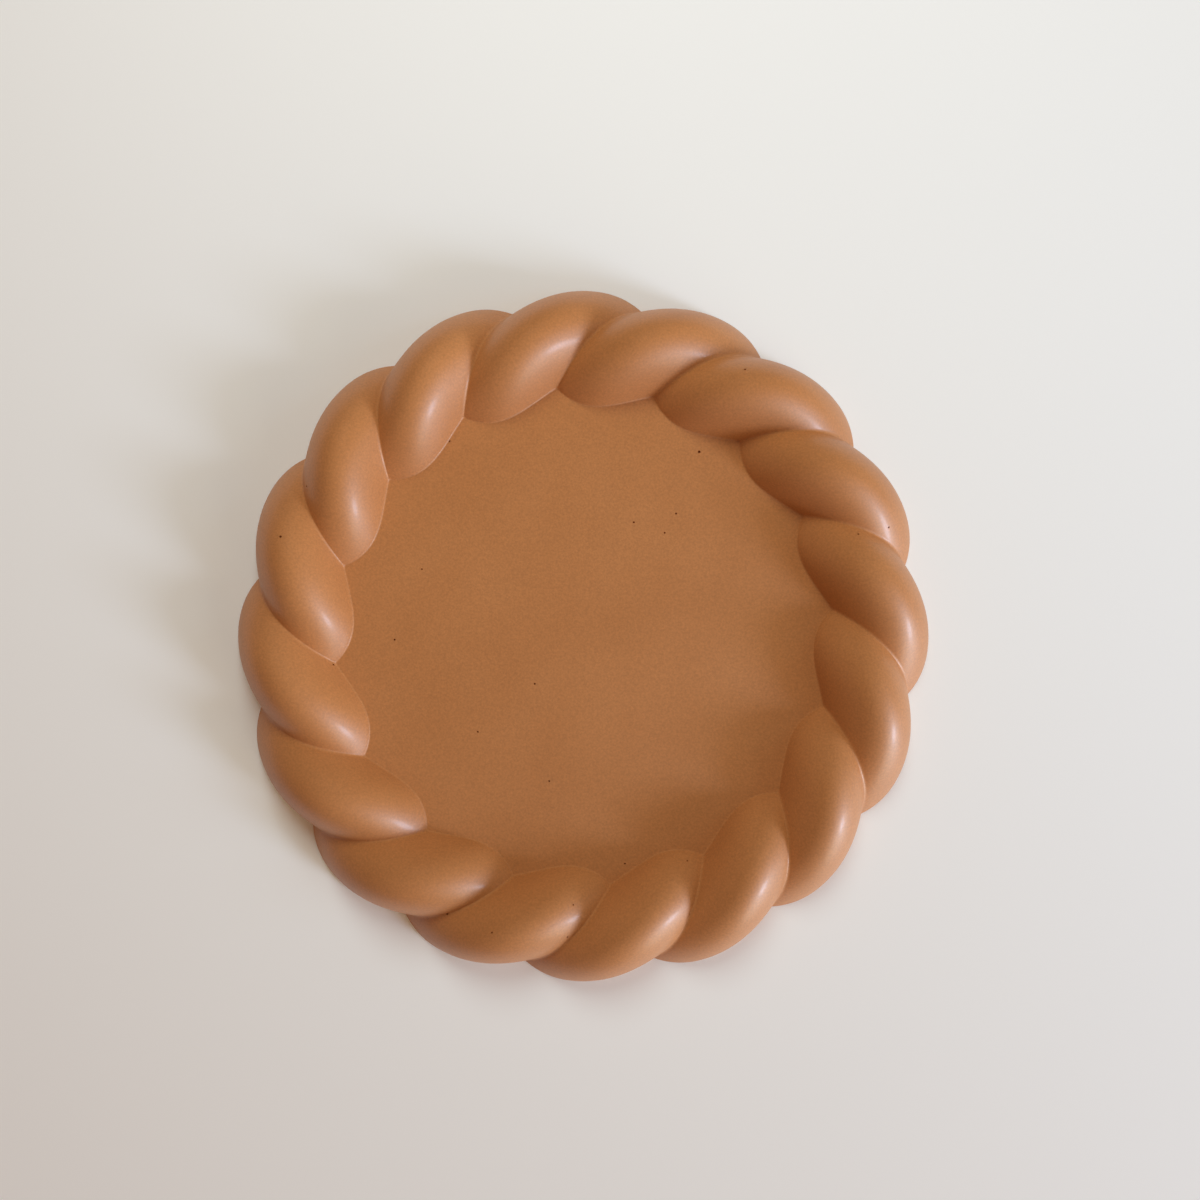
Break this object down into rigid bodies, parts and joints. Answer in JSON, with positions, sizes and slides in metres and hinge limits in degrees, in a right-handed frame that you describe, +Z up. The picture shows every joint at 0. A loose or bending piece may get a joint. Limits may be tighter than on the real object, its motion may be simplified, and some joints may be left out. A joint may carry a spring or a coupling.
{
  "type": "rope-rimmed round tray",
  "caption": "Shallow round tray cast in one piece, with a flat floor and a raised rim in the shape of a twisted rope, for holding small things.",
  "frame": {"origin": "middle of the flat underside, on the surface that the tray stands on", "axes": "+Z up, out of the dish; -Z out of the flat underside; +X and +Y in the plane of the underside, with +Y through the foot of one lobe of the rim, at its widest"},
  "size_m": [0.1698, 0.1698, 0.0158],
  "materials": {
    "casting": "terracotta-coloured cast plaster, smoothed and sealed to a satin sheen, with a few pinholes"
  },
  "bodies": {
    "root": {"tray": "casting"}
  },
  "joints": []
}
